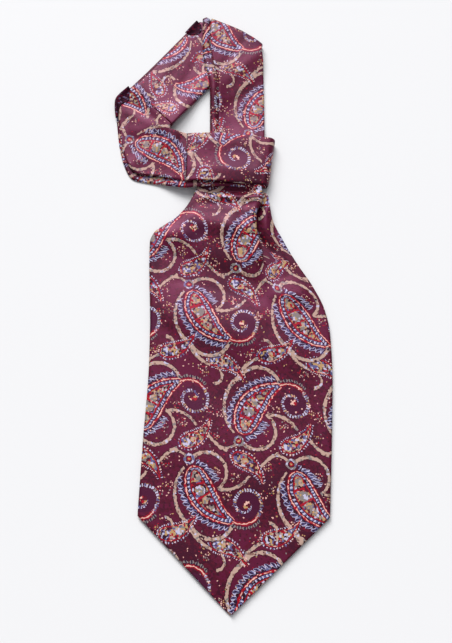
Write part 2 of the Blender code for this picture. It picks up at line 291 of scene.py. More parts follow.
def large_paisley(colour, vec, tone, second):
    along, out, inset, way = drop(
        vec, (-40.0, -23.4), (-29.5, 0.8), (-10.5, 13.4), 52.0,
        [(0.0, 0.64), (0.09, 0.8), (0.2, 0.92), (0.31, 0.95), (0.5, 0.88), (0.68, 0.66), (0.84, 0.42), (0.94, 0.25), (1.0, 0.0)], 7.7,
    )
    side = more(out, 0.0)
    # Leaves on dark ground along the outer side, and longer ones below the head
    shade = ramp(second, [(0.0, NAVY), (0.45, DARK), (0.8, SLATE), (1.0, SLATE)])
    colour = over(colour, both(near(inset, -1.9, 1.5), side, near(along, 26.0, 21.0)), shade)
    lift = math_node("MULTIPLY_ADD", inset, -1 / 4.9, -1.0 / 4.9)
    sway = part_of(math_node("MULTIPLY_ADD", lift, 0.55, way * (1 / 3.6))) - 0.5
    plump = math_node("SINE", math_node("MULTIPLY", lift, math.pi)) * 0.47
    fringe = both(near(lift, 0.5, 0.5), less(math_node("ABSOLUTE", sway), plump), side, near(along, 25.0, 23.0))
    rim = math_node("DIVIDE", math_node("ABSOLUTE", sway), plump)
    leaf = ramp(rim, [(0.0, NAVY), (0.3, SLATE), (0.66, LILAC), (1.0, LILAC)])
    colour = over(colour, fringe, leaf)
    below = both(less(out, 0.0), near(way, 0.5, 12.0))
    colour = over(colour, both(near(inset, -3.4, 2.6), below), shade)
    lift = math_node("MULTIPLY_ADD", inset, -1 / 7.0, -1.0 / 7.0)
    sway = part_of(math_node("MULTIPLY_ADD", lift, -0.5, way * (1 / 5.0))) - 0.5
    plump = math_node("SINE", math_node("MULTIPLY", lift, math.pi)) * 0.40
    fringe = both(near(lift, 0.5, 0.5), less(math_node("ABSOLUTE", sway), plump), below)
    rim = math_node("DIVIDE", math_node("ABSOLUTE", sway), plump)
    colour = over(colour, fringe, ramp(rim, [(0.0, NAVY), (0.25, SLATE), (0.55, LILAC), (1.0, LILAC)]))
    # The body: nested outlines round a field with flower heads
    body = ramp(
        inset * (1 / 12),
        [(0.0, RED), (0.045, ROSE), (0.11, RED), (0.14, DARK), (0.19, SLATE), (0.36, DARK), (0.41, RED), (0.48, WINE),
         (1.0, WINE)],
    )
    body = over(body, both(near(inset, 0.95, 0.42), less(second, 0.3)), RED)
    beads = part_of(way * (1 / 2.7))
    bead_colour = ramp(beads, [(0.0, NAVY), (0.2, LILAC), (0.62, SLATE), (1.0, SLATE)])
    body = over(body, near(inset, 3.35, 0.95), bead_colour)
    body = over(body, both(near(inset, 3.35, 1.1), less(tone, 0.16)), DARK)
    place = vector(along, out)
    inner = more(inset, 5.75)
    body = over(body, both(inner, less(second, 0.55)), dense(tone))
    flower = ramp(tone, [(0.0, SAGE), (0.42, GOLD), (0.66, SAND), (0.84, DARK), (0.93, RED), (1.0, RED)])
    body = over(body, both(inner, spot(place, 3.4, 0.0, 4.3)), flower)
    body = over(body, both(inner, near(along, 9.4, 1.0)), ramp(second, [(0.0, RED), (0.75, WINE), (1.0, WINE)]))
    body = over(body, both(inner, spot(place, 14.8, 0.0, 4.0)), ramp(tone, [(0.0, SAGE), (0.7, LILAC), (0.86, GOLD), (1.0, DARK)]))
    body = over(body, both(inner, near(along, 19.8, 0.7)), RED)
    body = over(body, both(inner, spot(place, 23.2, 0.4, 2.7)), flower)
    body = over(body, both(more(inset, 4.6), spot(place, 29.8, 0.2, 2.1)), flower)
    body = over(body, both(more(inset, 3.2), spot(place, 35.2, 0.0, 1.6)), flower)
    return over(colour, more(inset, 0.02), body)


def curl(colour, vec, tone):
    """The spiral that the tip runs into: a double line that breaks up into beads."""
    r, angle = polar(vec, 0.0, 0.0, math.radians(130.6) - math.pi)
    turn = (math.pi - angle) * (1 / math.tau)
    first = curve(
        turn,
        [(0.0, 0.86), (0.086, 0.75), (0.17, 0.655), (0.24, 0.58), (0.33, 0.56), (0.41, 0.585), (0.48, 0.60),
         (0.54, 0.585), (0.6, 0.575), (0.67, 0.55), (0.745, 0.50), (0.83, 0.475), (0.9, 0.44), (1.0, 0.365)],
    ) * 20.0
    colour = over(colour, less(r, math_node("MINIMUM", first - 1.6, 10.0)), PURPLE)
    gap = math_node("ABSOLUTE", r - first)
    line = ramp(gap * 0.5, [(0.0, ROSE), (0.19, RED), (0.42, DARK), (0.5, RED), (0.7, RED), (1.0, RED)])
    colour = over(colour, both(less(gap, 1.35), less(turn, 0.26)), line)
    beads = part_of(turn * 34.0)
    bead_colour = ramp(tone, [(0.0, LILAC), (0.42, SLATE), (0.66, SAGE), (0.84, GOLD), (0.93, ROSE), (1.0, ROSE)])
    colour = over(colour, both(less(gap, 1.25), less(beads, 0.62), more(turn, 0.22)), bead_colour)
    # Small leaves over the first part of the curl
    lift = (r - first - 1.6) * (1 / 3.2)
    sway = part_of(turn * 26.0) - 0.5
    plump = math_node("SINE", lift * math.pi) * 0.42
    leaf = both(near(lift, 0.5, 0.5), less(math_node("ABSOLUTE", sway), plump), near(turn, 0.11, 0.115))
    colour = over(colour, leaf, ramp(math_node("ABSOLUTE", sway) * 2.6, [(0.0, NAVY), (0.35, SAGE), (1.0, SAGE)]))
    second = curve(turn, [(0.0, 0.365), (0.1, 0.28), (0.2, 0.2), (0.33, 0.14), (0.5, 0.12), (1.0, 0.12)]) * 20.0
    beads = part_of(turn * 17.0)
    inner = both(near(r, second, 1.1), less(beads, 0.6), less(turn, 0.36))
    colour = over(colour, inner, bead_colour)
    middle = ramp(tone, [(0.0, WINE), (0.42, RED), (0.6, ROSE), (0.76, GOLD), (0.88, WINE), (1.0, WINE)])
    return over(colour, less(r, 3.1), middle)


def small_paisley(colour, vec, tone, second, a, b, c, length):
    along, out, inset, way = drop(
        vec, a, b, c, length,
        [(0.0, 0.44), (0.2, 0.48), (0.45, 0.37), (0.7, 0.17), (0.88, 0.07), (1.0, 0.0)], 5.2,
    )
    ticks = both(near(inset, -1.25, 0.6), less(part_of(way * (1 / 2.0)), 0.42), less(along, length * 0.95))
    colour = over(colour, ticks, ramp(second, [(0.0, LILAC), (0.55, ROSE), (0.8, SLATE), (1.0, SLATE)]))
    field = ramp(inset * (1 / 12), [(0.0, RED), (0.07, DARK), (0.1, WINE), (1.0, WINE)])
    field = over(field, both(near(inset, 0.5, 0.3), less(second, 0.3)), ROSE)
    place = vector(along, out)
    inner = more(inset, 1.15)
    field = over(field, both(inner, less(second, 0.72)), dense(tone))
    bud = ramp(tone, [(0.0, NAVY), (0.16, LILAC), (0.42, SLATE), (0.72, GOLD), (0.86, DARK), (1.0, DARK)])
    field = over(field, both(inner, spot(place, 0.6, 0.0, 3.4)), bud)
    seed = ramp(tone, [(0.0, GOLD), (0.4, SAND), (0.7, DARK), (0.85, RED), (1.0, RED)])
    field = over(field, both(inner, spot(place, 6.6, 0.0, 2.4)), seed)
    return over(colour, more(inset, 0.02), field)


CLUSTERS = [(-15.0, -6.5), (-9.0, -20.5), (-24.0, -25.0), (12.5, -8.0), (-60.0, -12.0), (-34.0, 36.5),
            (9.0, 22.0), (17.0, -30.0)]


def lowest(values):
    total = values[0]
    for value in values[1:]:
        total = math_node("MINIMUM", total, value)
    return total


def highest(values):
    total = values[0]
    for value in values[1:]:
        total = either(total, value)
    return total


def flecks(colour, clusters, tone, second, gap):
    """Bright flecks, close together near the clusters, and dark ones."""
    limit = math_node("MULTIPLY_ADD", less(clusters, 4.0), -0.58, 0.945)
    fleck = ramp(second, [(0.0, ROSE), (0.4, RED), (0.62, GOLD), (0.82, SAGE), (1.0, LILAC)])
    colour = over(colour, both(more(tone, limit), less(gap, 0.31)), fleck)
    return over(colour, both(less(tone, 0.07), less(gap, 0.4)), SHADE)


def strokes(colour, depth, tone):
    """Vines of sand thread with a dark rim, where their depth passes 20."""
    thread = ramp(tone, [(0.0, SAND), (0.7, TAN), (0.82, SAGE), (0.92, LILAC), (0.97, DARK), (1.0, DARK)])
    colour = over(colour, more(depth, 19.35), SHADE)
    return over(colour, more(depth, 20.0), thread)


def knob(colour, vec, second):
    """The ring at the head of a large paisley, where its vines meet."""
    ring = vector_node("DISTANCE", vec, (-44.8, -33.6, 0))
    rim = ramp(second, [(0.0, SAGE), (0.5, SLATE), (0.75, LILAC), (1.0, DARK)])
    middle = ramp(ring * 0.25, [(0.0, GOLD), (0.2, RED), (0.45, DARK), (0.6, WINE), (1.0, WINE)])
    return over(colour, less(ring, 4.3), over(middle, more(ring, 2.7), rim))


def motif(colour, vec, tone, second, gap, lower):
    """One large paisley with its curl, vines, leaves, flecks and two small paisleys, over colour.

    The small paisley between two large ones stands lower by the last value.
    """
    main = vector_node("WRAP", vec, (REPEAT_X / 2 - 20, REPEAT_Y / 2 - 5, 1), (-REPEAT_X / 2 - 20, -REPEAT_Y / 2 - 5, -1))
    side = vector_node("WRAP", vec, (REPEAT_X / 2 - 52, REPEAT_Y / 2, 1), (-REPEAT_X / 2 - 52, -REPEAT_Y / 2, -1))
    clusters = [vector_node("DISTANCE", side if x < -55 else main, (x, y, 0)) for x, y in CLUSTERS]
    colour = flecks(colour, lowest(clusters), tone, second, gap)
    depths = [vine(main, *v) for v in VINES] + [vine(side, *v) for v in SIDE_VINES]
    colour = strokes(colour, highest(depths), tone)
    colour = knob(colour, main, second)
    colour = large_paisley(colour, main, tone, second)
    colour = curl(colour, main, tone)
    colour = small_paisley(colour, main, tone, second, (-6.5, -36.3), (4.0, -31.0), (12.4, -18.6), 30.0)
    low = 36.0 - lower
    return small_paisley(colour, side, tone, second, (-63.9, low), (-50.0, low - 4.5), (-39.2, low - 17.0), 31.0)


# The middle of the whole part in the tables' millimetres, as in the solids
MIDDLE_X = -0.34
MIDDLE_Y = 0.29

# Cloth, as it shows
BLADE_WALL = 1.0
PLY_WALL = 0.9
PLY_RISE = 1.7
UNDER_THICK = 2.0
SEAM_GAP = 0.3
RISE_BASE = UNDER_THICK + 2 * SEAM_GAP
WRAP_BASE = 7.0
BAND_THICK = 2.8
WRAP_ROLL_HEIGHT = (WRAP_BASE + BAND_THICK) / 2
FOLD_ROLL_HEIGHT = BAND_THICK + SEAM_GAP
FOLD_BASE = FOLD_ROLL_HEIGHT + SEAM_GAP
TIP_X = 9.3
TIP_Y = -261.5
BLADE_LEAN = math.radians(2.0)
TIP_STRAIGHT_TO = 75.0
PLEAT_DEPTH = 10.0
PLEAT_STEP = 1.5
HIDDEN_CLOTH = 36.0
LIP = 2.6
LEAST_HEIGHT = 1.9

Outline = namedtuple("Outline", "up left right")
BLADE_OUTLINE = [
    Outline(0.0, 0.8, 0.8),
    Outline(71.0, 74.5, 70.8),
    Outline(75.0, 74.6, 74.6),
    Outline(130.0, 74.0, 75.8),
    Outline(182.0, 72.8, 76.4),
    Outline(225.0, 73.9, 74.2),
    Outline(245.0, 75.2, 69.6),
    Outline(265.0, 76.8, 59.6),
    Outline(284.0, 78.0, 46.8),
    Outline(300.0, 78.4, 37.2),
    Outline(309.0, 75.0, 32.4),
    Outline(315.0, 68.0, 29.0),
    Outline(322.0, 58.4, 25.6),
    Outline(334.0, 48.4, 22.4),
    Outline(344.0, 43.5, 20.8),
    Outline(348.5, 41.8, 18.5),
    Outline(352.0, 40.5, 13.8),
    Outline(371.0, 33.0, 13.8),
]

Relief = namedtuple("Relief", "up crown left right pleat_at pleat")
BLADE_RELIEF = [
    Relief(0.0, 0.65, 0.65, 0.65, 4.0, 0.0),
    Relief(20.0, 2.25, 2.25, 2.25, 4.0, 0.0),
    Relief(70.0, 2.4, 2.25, 2.25, 6.0, 0.0),
    Relief(120.0, 3.0, 2.25, 2.25, 10.0, 0.0),
    Relief(185.0, 2.8, 2.4, 2.25, 14.0, 0.0),
    Relief(238.0, 4.3, 2.7, 2.3, 18.0, 0.0),
    Relief(262.0, 4.1, 2.8, 2.6, 20.0, 0.06),
    Relief(277.0, 4.8, 3.0, 2.8, 19.5, 0.4),
    Relief(295.0, 5.9, 3.3, 2.9, 16.5, 0.9),
    Relief(315.0, 6.9, 3.7, 2.9, 11.0, 1.0),
    Relief(327.0, 7.4, 4.2, 2.95, 10.7, 1.0),
    Relief(336.0, 8.1, 4.9, 3.0, 14.0, 1.0),
    Relief(341.0, 8.0, 5.0, 3.0, 15.5, 1.0),
    Relief(348.5, 5.95, 4.6, 2.95, 15.0, 1.0),
    Relief(371.0, 5.95, 4.6, 2.95, 12.0, 1.0),
]

# Soft ridges and troughs: from one place to another, across and up the blade
Crease = namedtuple("Crease", "across1 up1 across2 up2 width height")
BLADE_CREASES = [
    Crease(-34, 342.5, 12, 342, 2.6, 1.5),
    Crease(-34, 349, 12, 349, 2.6, -2.6),
    Crease(-34, 336, 12, 335, 3.4, -0.8),
    Crease(-44, 321, 2, 313, 9.0, 2.3),
    Crease(-66, 306, -44, 308, 8.0, 1.6),
    Crease(-40, 330, -64, 300, 6.0, 0.6),
    Crease(-8, 334, -14, 312, 5.0, 0.5),
    Crease(-72, 284, 24, 256, 14.0, -3.2),
    Crease(-64, 240, 56, 200, 17.0, 2.0),
    Crease(-48, 262, -30, 244, 7.0, 0.7),
    Crease(-4, 244, 20, 232, 8.0, 0.8),
    Crease(-72, 232, -48, 214, 6.0, -0.6),
    Crease(16, 304, 36, 276, 7.0, -1.8),
    Crease(26, 256, 58, 258, 8.0, 2.0),
    Crease(44, 290, 60, 262, 5.0, -0.5),
    Crease(58, 236, 66, 176, 7.0, -0.6),
    Crease(-40, 178, 52, 148, 15.0, -0.6),
    Crease(-62, 128, 30, 92, 15.0, 0.6),
    Crease(24, 60, 58, 104, 10.0, -0.5),
    Crease(-24, 44, 14, 20, 9.0, 0.4),
]

Section = namedtuple("Section", "open_x open_y fold_x fold_y step bow")
RISE_SECTIONS = [
    Section(-8.3, 111.0, 40.0, 111.0, 7.6, 0.0),
    Section(-8.3, 130.0, 40.0, 130.0, 7.6, 0.0),
    Section(-8.3, 150.0, 40.0, 150.0, 7.6, 0.0),
    Section(-8.3, 170.0, 40.0, 170.0, 7.6, 0.0),
    Section(-8.5, 188.0, 39.9, 186.0, 7.8, 0.0),
    Section(-10.0, 200.0, 39.8, 196.0, 9.0, 0.0),
    Section(-13.8, 215.0, 39.6, 205.0, 9.0, 0.0),
    Section(-15.3, 230.0, 39.6, 212.5, 7.8, 1.0),
    Section(-15.4, 246.0, 39.4, 220.0, 7.6, 2.2),
    Section(-15.4, 261.0, 38.2, 231.6, 7.6, 3.2),
]
DIAGONAL_SECTIONS = [
    Section(-20.6, 260.4, 37.4, 231.3, 2.4, 2.6),
    Section(-28.0, 251.2, 25.0, 221.5, 2.4, 0.0),
    Section(-40.0, 237.0, 5.0, 203.9, 2.0, 0.0),
    Section(-53.0, 221.6, -10.0, 189.5, 1.8, 0.0),
    Section(-66.0, 206.6, -25.8, 169.8, 1.6, 0.0),
    Section(-79.1, 192.1, -41.7, 150.3, 1.6, 0.0),
]
TURN_SECTIONS = [
    Section(-79.3, 191.9, -41.9, 150.1, 1.6, 0.0),
    Section(-87.0, 185.6, -42.4, 149.7, 1.6, 0.0),
    Section(-92.8, 178.3, -42.8, 149.1, 1.6, 0.0),
    Section(-92.0, 167.0, -43.0, 148.4, 1.8, 0.0),
    Section(-90.6, 154.6, -43.0, 147.6, 1.8, 0.0),
    Section(-89.0, 141.0, -42.8, 146.9, 1.8, 0.0),
    Section(-86.8, 127.5, -42.4, 146.3, 2.2, 0.0),
    Section(-82.6, 112.5, -41.6, 146.0, 3.6, 0.0),
    Section(-76.0, 101.2, -40.2, 145.7, 6.0, 0.0),
    Section(-64.0, 97.2, -38.0, 145.2, 7.0, 0.0),
    Section(-52.0, 95.2, -35.4, 144.3, 6.8, 0.0),
    Section(-40.0, 92.2, -32.0, 143.0, 6.2, 0.0),
    Section(-28.6, 89.6, -28.3, 141.6, 5.6, 0.0),
]
WRAP_SECTIONS = [
    Section(-28.3, 89.6, -28.0, 141.6, 5.6, 0.0),
    Section(-12.2, 91.0, -8.2, 142.3, 4.2, 0.0),
    Section(4.0, 91.0, 10.0, 141.2, 3.2, 0.0),
    Section(22.0, 90.4, 26.0, 139.2, 2.2, 0.0),
    Section(37.0, 90.4, 44.0, 137.2, 1.4, 0.0),
]

UNDER_EDGE_START = (-10.0, 189.5)
UNDER_EDGE_END = (37.4, 231.3)
CLIMB = 12.0
CLIMB_CLEAR = 2.5


def smooth(low, high, value):
    """0 at low, 1 at high, with level ends."""
    share = min(1.0, max(0.0, (value - low) / (high - low)))
    return share * share * (3.0 - 2.0 * share)


def mix(a, b, share):
    return a + (b - a) * share


def slopes(xs, ys):
    """Slopes of a curve that keeps between its points."""
    steps = [(ys[i + 1] - ys[i]) / (xs[i + 1] - xs[i]) for i in range(len(xs) - 1)]
    inner = []
    for before, after in zip(steps, steps[1:]):
        same_way = before * after > 0
        inner.append(2.0 * before * after / (before + after) if same_way else 0.0)
    return [steps[0], *inner, steps[-1]]


def read(table, column, up):
    """A column of a table at height up, on a smooth curve through its rows."""
    xs = [row.up for row in table]
    ys = [getattr(row, column) for row in table]
    i = max(0, min(len(xs) - 2, sum(x <= up for x in xs) - 1))
    width = xs[i + 1] - xs[i]
    s = (up - xs[i]) / width
    m = slopes(xs, ys)
    ends = (1 + 2 * s) * (1 - s) ** 2 * ys[i] + s * s * (3 - 2 * s) * ys[i + 1]
    return ends + width * s * (1 - s) * ((1 - s) * m[i] - s * m[i + 1])


def outline(side, up):
    """Half width of the blade: straight along the pointed end, curved above it."""
    tip = [row for row in BLADE_OUTLINE if row.up <= TIP_STRAIGHT_TO]
    body = [row for row in BLADE_OUTLINE if row.up >= TIP_STRAIGHT_TO]
    if up >= TIP_STRAIGHT_TO:
        return read(body, side, up)
    i = max(0, sum(row.up <= up for row in tip) - 1)
    share = (up - tip[i].up) / (tip[i + 1].up - tip[i].up)
    return mix(getattr(tip[i], side), getattr(tip[i + 1], side), share)


def on_blade(across, up, height):
    x = TIP_X + across * math.cos(BLADE_LEAN) + up * math.sin(BLADE_LEAN)
    y = TIP_Y + up * math.cos(BLADE_LEAN) - across * math.sin(BLADE_LEAN)
    return (x, y, height)


def crease_height(creases, x, y):
    """Height added by the creases at a place: each fades at its ends and on both sides."""
    total = 0.0
    for c in creases:
        dx, dy = c.across2 - c.across1, c.up2 - c.up1
        length = math.hypot(dx, dy)
        along = ((x - c.across1) * dx + (y - c.up1) * dy) / length**2
        if -0.35 < along < 1.35:
            aside = ((y - c.up1) * dx - (x - c.across1) * dy) / length
            fade = smooth(-0.35, 0.25, along) * (1 - smooth(0.75, 1.35, along))
            total += c.height * fade * math.exp(-((aside / c.width) ** 2))
    return total


def between_rows(sections, count):
    """Sections spaced along a smooth curve through the rows of a table."""
    made = []
    last = len(sections) - 1
    for k in range(count):
        place = k * last / (count - 1)
        i = min(last - 1, int(place))
        s = place - i
        a, b = sections[max(0, i - 1)], sections[i]
        c, d = sections[i + 1], sections[min(last, i + 2)]
        values = []
        for p, q, r, t in zip(a, b, c, d):
            bend = (2 * p - 5 * q + 4 * r - t) * s * s + (3 * q - p - 3 * r + t) * s**3
            values.append(0.5 * (2 * q + (r - p) * s + bend))
        made.append(Section(*values))
    return made


def wall_sides(middle, wall):
    """Both sides of a wall whose middle is a line of (along, height) points."""
    over_side, under_side = [], []
    last = len(middle) - 1
    for i, (along, height) in enumerate(middle):
        before, after = middle[max(0, i - 1)], middle[min(last, i + 1)]
        da, dh = after[0] - before[0], after[1] - before[1]
        length = math.hypot(da, dh) or 1.0
        half = wall / 2 if 0 < i < last else wall / 4
        out_a, out_h = -dh / length * half, da / length * half
        over_side.append((along + out_a, height + out_h))
        under_side.append((along - out_a, height - out_h))
    return over_side, under_side


def arc_lengths(middle):
    total, made = 0.0, [0.0]
    for a, b in zip(middle, middle[1:]):
        total += math.hypot(b[0] - a[0], b[1] - a[1])
        made.append(total)
    return made


def shell(name, rings, places, material):
    """A closed thin shell through rings of points, with the cloth's flat places in a UV map, in metres."""
    count = len(rings[0])
    half = count // 2
    points = []
    for ring in rings:
        points += [((x - MIDDLE_X) * MM, (y - MIDDLE_Y) * MM, max(z, 0.02) * MM) for x, y, z in ring]
    flat = [place for row in places for place in row]
    faces = []
    for r in range(len(rings) - 1):
        for i in range(count):
            j = (i + 1) % count
            low, high = r * count, (r + 1) * count
            faces.append((low + i, high + i, high + j, low + j))
    last = (len(rings) - 1) * count
    for i in range(half - 1):
        opposite = count - 1 - i
        faces.append((i, i + 1, opposite - 1, opposite))
        faces.append((last + i, last + opposite, last + opposite - 1, last + i + 1))
    mesh = bpy.data.meshes.new(name)
    mesh.from_pydata(points, [], faces)
    if signed_volume(mesh) < 0:
        mesh.flip_normals()
    layer = mesh.uv_layers.new(name="cloth")
    for loop in mesh.loops:
        u, v = flat[loop.vertex_index]
        layer.data[loop.index].uv = (u * MM, v * MM)
    mesh.materials.append(material)
    mesh.shade_smooth()
    piece = bpy.data.objects.new(name, mesh)
    bpy.context.scene.collection.objects.link(piece)
    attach(piece, "root")
    return piece


def signed_volume(mesh):
    total = 0.0
    for face in mesh.polygons:
        corners = [mesh.vertices[i].co for i in face.vertices]
        for b, c in zip(corners[1:], corners[2:]):
            total += corners[0].dot(b.cross(c))
    return total


def even_between(points, times):
    """The line of points with times - 1 more on a smooth curve between each two."""
    made = []
    last = len(points) - 1
    for i in range(last):
        a, b = points[max(0, i - 1)], points[i]
        c, d = points[i + 1], points[min(last, i + 2)]
        for k in range(times):
            s = k / times
            values = []
            for p, q, r, t in zip(a, b, c, d):
                bend = (2 * p - 5 * q + 4 * r - t) * s * s + (3 * q - p - 3 * r + t) * s**3
                values.append(0.5 * (2 * q + (r - p) * s + bend))
            made.append(tuple(values))
    return made + [points[-1]]


def front_row(up):
    """Middle of the front blade's wall across one row, as in the solid but finer."""
    left, right = outline("left", up), outline("right", up)
    crown, at = read(BLADE_RELIEF, "crown", up), read(BLADE_RELIEF, "pleat_at", up)
    left_height, right_height = read(BLADE_RELIEF, "left", up), read(BLADE_RELIEF, "right", up)
    pleat = read(BLADE_RELIEF, "pleat", up)
    turned = smooth(0.35, 1.0, pleat)
    dropped = smooth(0.0, 0.6, pleat)
    at = min(at, 0.35 * right + at * smooth(0.0, 90.0, up))
    spread = min(6.0, 0.3 * right, 0.3 * left)
    radius = PLEAT_STEP / 2
    left_end = mix(at - spread, at - radius, turned)
    points = []
    for i in range(34):
        share = i / 34
        climb = math.sin(share * math.pi / 2) ** 1.2
        across = mix(-left, left_end, share)
        lip = LIP * turned * math.exp(-(((across - at + 3.0) / 5.0) ** 2))
        points.append((across, mix(left_height, crown, climb) + lip))
    inner = at - radius - PLEAT_DEPTH * turned
    edge = crown + 0.82 * LIP * turned
    folded = [
        (at - radius, edge),
        (at, edge - radius),
        (at - radius, edge - PLEAT_STEP),
        (mix(at - radius, inner, 0.5), crown - PLEAT_STEP),
        (inner, crown - PLEAT_STEP),
        (inner - radius, crown - 1.5 * PLEAT_STEP),
        (inner, crown - 2 * PLEAT_STEP),
    ]
    middle = []
    for i, (across, height) in enumerate(folded):
        share = i / (len(folded) - 1)
        open_across = mix(at - spread, at + spread, share)
        open_height = mix(crown, right_height, smooth(at - spread, right, open_across))
        middle.append((mix(open_across, across, turned), mix(open_height, height, dropped)))
    points += even_between(middle, 3)
    start_across, start_height = points[-1]
    deep = smooth(262.0, 296.0, up) * (1 - smooth(346.0, 352.0, up))
    for i in range(1, 28):
        share = i / 27
        across = mix(start_across, right, share)
        height = mix(start_height, right_height, smooth(0.0, 1.0, share))
        height -= 4.2 * deep * math.exp(-(((across - at - 6.5) / 7.5) ** 2))
        height = max(2.0, height) + 4.8 * smooth(280.0, 322.0, up) * math.exp(-(((across - at - 8.4) / 5.6) ** 2)) * deep
        points.append((across, max(2.0, height)))
    return points


def pleat_cloth(up, middle, lengths):
    """Extra pattern hidden in the pleat at each point of a row, beyond what the pleat itself takes."""
    turned = smooth(0.35, 1.0, read(BLADE_RELIEF, "pleat", up))
    extra = HIDDEN_CLOTH * smooth(232.0, 334.0, up) - 2 * PLEAT_DEPTH * turned
    start, end = lengths[34], lengths[52]
    at = (start + end) / 2
    spread = mix(15.0, (end - start) / 2, turned)
    return [extra * smooth(at - spread, at + spread, length) for length in lengths]


def blade_rows(start, end, step):
    count = max(1, round((end - start) / step))
    return [mix(start, end, i / count) for i in range(count)]


def front_blade(material):
    ups = blade_rows(0.0, 20.0, 1.6) + blade_rows(20.0, 71.0, 2.4) + blade_rows(71.0, 75.0, 1.0)
    ups += blade_rows(75.0, 240.0, 3.0) + blade_rows(240.0, 352.0, 1.3) + blade_rows(352.0, 371.0, 3.0) + [371.0]
    rings, places = [], []
    for up in ups:
        middle = front_row(up)
        lengths = arc_lengths(middle)
        left = outline("left", up)
        calm = smooth(0.0, 30.0, up)
        raised = []
        for across, height in middle:
            edge = smooth(0.0, 14.0, across + left) * smooth(0.0, 14.0, outline("right", up) - across)
            height += crease_height(BLADE_CREASES, across, up) * edge * calm
            least = LEAST_HEIGHT + 0.4
            if up > 40.0 and height < least:
                height = LEAST_HEIGHT + 0.4 * math.exp((height - least) / 0.4)
            raised.append((across, height))
        over_side, under_side = wall_sides(raised, BLADE_WALL)
        ring = [on_blade(across, up, height) for across, height in over_side]
        ring += [on_blade(across, up, height) for across, height in reversed(under_side)]
        rings.append(ring)
        hidden = pleat_cloth(up, middle, lengths)
        lean = 0.066 * (up - 150.0) - left
        across_row = [(length + more_cloth + lean, up) for length, more_cloth in zip(lengths, hidden)]
        places.append(across_row + across_row[::-1])
    return shell("front_blade_silk", rings, places, material)


def rear_blade(material):
    """The flat blade under the front one."""
    rings, places = [], []
    ups = blade_rows(22.0, 36.0, 2.0) + blade_rows(36.0, 352.0, 5.0) + [352.0, 362.0]
    for up in ups:
        narrower = 4.0 + 22.0 * (1 - smooth(60.0, 100.0, up))
        left = max(0.8, outline("left", up) - narrower)
        right = max(0.8, outline("right", up) - min(narrower, 0.9 * outline("right", up)))
        across = [mix(-left, right, 0.5 - 0.5 * math.cos(math.pi * i / 30)) for i in range(31)]
        over_side = [on_blade(a, up, 1.2 - (0.45 if i in (0, 30) else 0.0)) for i, a in enumerate(across)]
        under_side = [on_blade(a, up, 0.05 + (0.3 if i in (0, 30) else 0.0)) for i, a in enumerate(across)]
        rings.append(over_side + under_side[::-1])
        row = [(a, up) for a in across]
        places.append(row + row[::-1])
    return shell("rear_blade_silk", rings, places, material)


def folded_strip(width, step):
    """Middle of the folded strip's wall: the lower ply, the folded edge, then the upper ply.

    The upper ply's free edge stands up a little where much of the lower one is bare, and is
    drawn down elsewhere.
    """
    low = 0.6
    lift = mix(-0.6, 0.6, smooth(2.2, 4.0, step))
    radius = PLY_RISE / 2
    edge = width - 0.6 - radius
    points = [(mix(0.0, edge, i / 24), low) for i in range(24)]
    for i in range(9):
        angle = -math.pi / 2 + math.pi * i / 8
        points.append((edge + radius * math.cos(angle), low + radius + radius * math.sin(angle)))
    for i in range(1, 27):
        along = mix(edge, step, i / 26)
        points.append((along, low + PLY_RISE + lift * math.exp(-((along - step) / 3.5))))
    return points


def reflected(x, y, start, end):
    """The place mirrored in the line through start and end."""
    dx, dy = end[0] - start[0], end[1] - start[1]
    length = math.hypot(dx, dy)
    aside = 2 * side_of_line(x, y, start, end) / length
    return x + aside * dy, y - aside * dx


def strip_ring(section, base, mirror, roll=0.0, roll_height=0.0, outward=(0.0, 0.0), creases=(), swell=None):
    """Ring of the folded strip across one section, with its cloth's flat places.

    The lower ply's cloth is the upper one's, mirrored in the folded edge. Where it is bare beside
    the upper one's free edge, it swells up by the swell.

    A rolled ring is turned by roll round the section's own line, at roll_height above the table,
    with its top leaning to the outward side.
    """
    dx, dy = section.fold_x - section.open_x, section.fold_y - section.open_y
    width = math.hypot(dx, dy)
    middle = folded_strip(width, section.step)
    raised = []
    for i, (along, height) in enumerate(middle):
        share = along / width
        x, y = section.open_x + dx * share, section.open_y + dy * share
        upper = smooth(0.9, 2.0, height)
        lifted = height + crease_height(creases, x, y) * upper
        if upper > 0.5:
            lifted = max(lifted, min(height, 1.6))
        elif swell:
            lifted += swell(x, y) * math.exp(-(((along - 0.45 * section.step) / (0.3 * section.step)) ** 2))
        raised.append((along, lifted))
    over_side, under_side = wall_sides(raised, PLY_WALL)
    ring, row = [], []
    fold_length = arc_lengths(middle)
    turning = fold_length[28]
    flat = [turning - length for length in fold_length]
    for (along, height), across in zip(over_side + under_side[::-1], flat + flat[::-1]):
        share = along / width
        aside = 4 * section.bow * share * (1 - share) / width
        x, y = section.open_x + dx * share - dy * aside, section.open_y + dy * share + dx * aside
        reach = base(x, y) + height - roll_height
        x += outward[0] * reach * math.sin(roll)
        y += outward[1] * reach * math.sin(roll)
        ring.append((x, y, roll_height + reach * math.cos(roll)))
        u = section.fold_x - dx / width * abs(across)
        v = section.fold_y - dy / width * abs(across)
        if across > 0:
            u, v = reflected(u, v, *mirror)
        row.append((u + outward[0] * roll * 3.2, v + outward[1] * roll * 3.2))
    return ring, row


def side_of_line(x, y, start, end):
    dx, dy = end[0] - start[0], end[1] - start[1]
    return (dx * (y - start[1]) - dy * (x - start[0])) / math.hypot(dx, dy)


def rise_base(x, y):
    """Underside of the rise: on the knot's under layer, down to the table, then up over the diagonal."""
    at_knot = RISE_BASE * (1 - smooth(136.0, 156.0, y))
    over_edge = side_of_line(x, y, UNDER_EDGE_START, UNDER_EDGE_END)
    return at_knot + FOLD_BASE * smooth(-CLIMB - 18.0, -CLIMB_CLEAR, over_edge)


